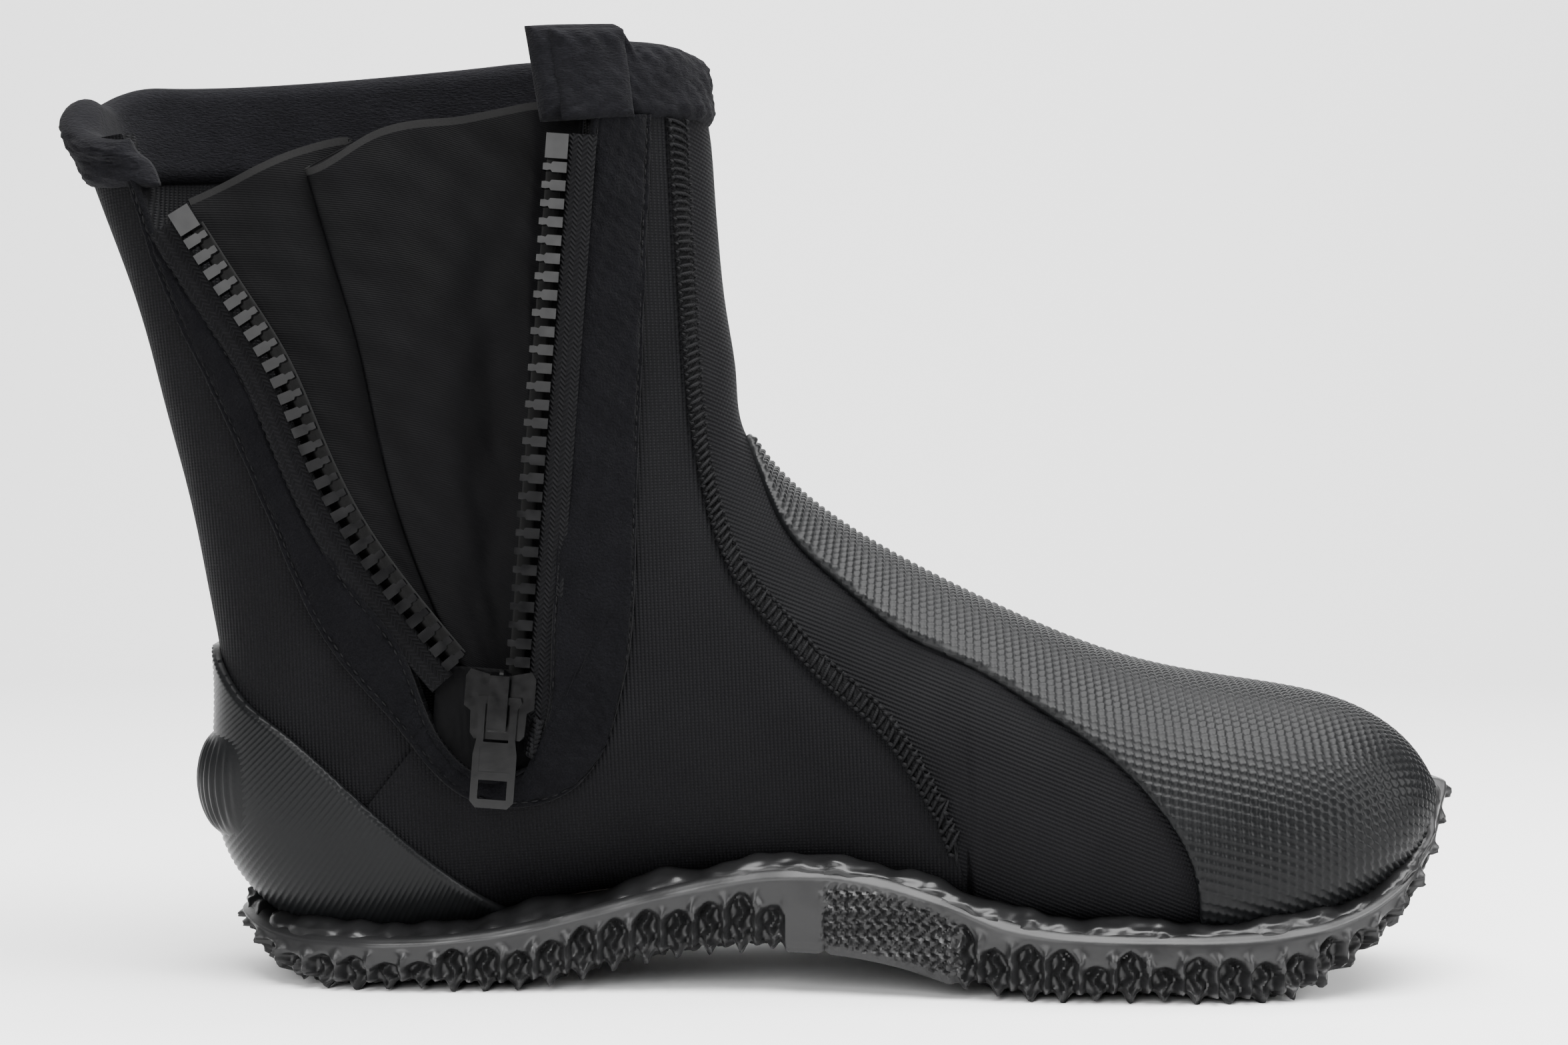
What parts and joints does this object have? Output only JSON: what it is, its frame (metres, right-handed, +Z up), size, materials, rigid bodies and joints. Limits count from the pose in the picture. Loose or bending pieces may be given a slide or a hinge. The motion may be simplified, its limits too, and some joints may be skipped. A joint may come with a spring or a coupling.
{
  "type": "dive boot",
  "caption": "Left ankle-high neoprene dive boot with open side zip, pleated gusset, rubber toe and heel caps and a ribbed rubber sole.",
  "frame": {"origin": "on the ground under the middle of the heel tread", "axes": "+X from heel to toe, +Y to the outer (lateral) side of a left boot, +Z up"},
  "size_m": [0.3149, 0.1083, 0.2112],
  "materials": {
    "sole_rubber": "matt vulcanised rubber with a faint sheen",
    "sole_gloss_rubber": "smooth, uneven, slightly glossy rubber",
    "cap_rubber": "satin charcoal rubber with a fine embossed grid",
    "neoprene": "black ribbed jersey over sponge rubber",
    "thread": "black overlock thread",
    "plush": "black brushed plush",
    "zip_tape": "black woven tape",
    "zip_plastic": "glossy black moulded plastic",
    "gusset_cloth": "smooth black nylon face",
    "slider_metal": "glossy black lacquered zinc",
    "board": "grey fibre board",
    "insole_foam": "black foam with a cloth face"
  },
  "bodies": {
    "root": {"outsole": "sole_rubber", "foxing_band": "sole_gloss_rubber", "lasting_board": "board", "insole": "insole_foam", "toe_cap": "cap_rubber", "heel_cap": "cap_rubber", "fin_strap_lug": "cap_rubber", "vamp_panel": "neoprene", "medial_quarter": "neoprene", "lateral_quarter": "neoprene", "medial_flatlock_seam": "thread", "lateral_flatlock_seam": "thread", "back_seam_tape": "thread", "collar_binding": "plush", "zip_placket_front": "plush", "zip_placket_bottom": "plush", "zip_tape_front": "zip_tape", "zip_teeth_front": "zip_plastic", "zip_top_stop_front": "zip_plastic", "zip_bottom_stop": "zip_plastic", "gusset": "gusset_cloth"},
    "flap": {"rear_flap": "neoprene", "zip_placket_rear": "plush", "zip_tape_rear": "zip_tape", "zip_teeth_rear": "zip_plastic", "zip_top_stop_rear": "zip_plastic", "collar_binding_rear": "plush"},
    "slider": {"slider_body": "slider_metal", "slider_bridge": "slider_metal"},
    "pull": {"pull_tab": "slider_metal"}
  },
  "joints": [
    {"name": "zip_travel", "type": "slide", "parent": "root", "child": "slider", "axis": [0.0715, 0.0279, 0.9971], "range_m": [0, 0.106]},
    {"name": "flap_close", "type": "hinge", "parent": "root", "child": "flap", "pos_m": [0.0177, -0.037, 0.061], "axis": [0, 0.9996, -0.0279], "range_deg": [0, 35.4], "deforming": ["gusset", "zip_teeth_rear", "zip_tape_rear"]},
    {"name": "pull_swing", "type": "hinge", "parent": "slider", "child": "pull", "pos_m": [0.01788, -0.04098, 0.06361], "axis": [-0.9974, 0.002, 0.0715], "range_deg": [0, 165]}
  ],
  "couplings": [
    {"joint": "flap_close", "follows": "zip_travel", "rad_per_m": 5.8282}
  ]
}
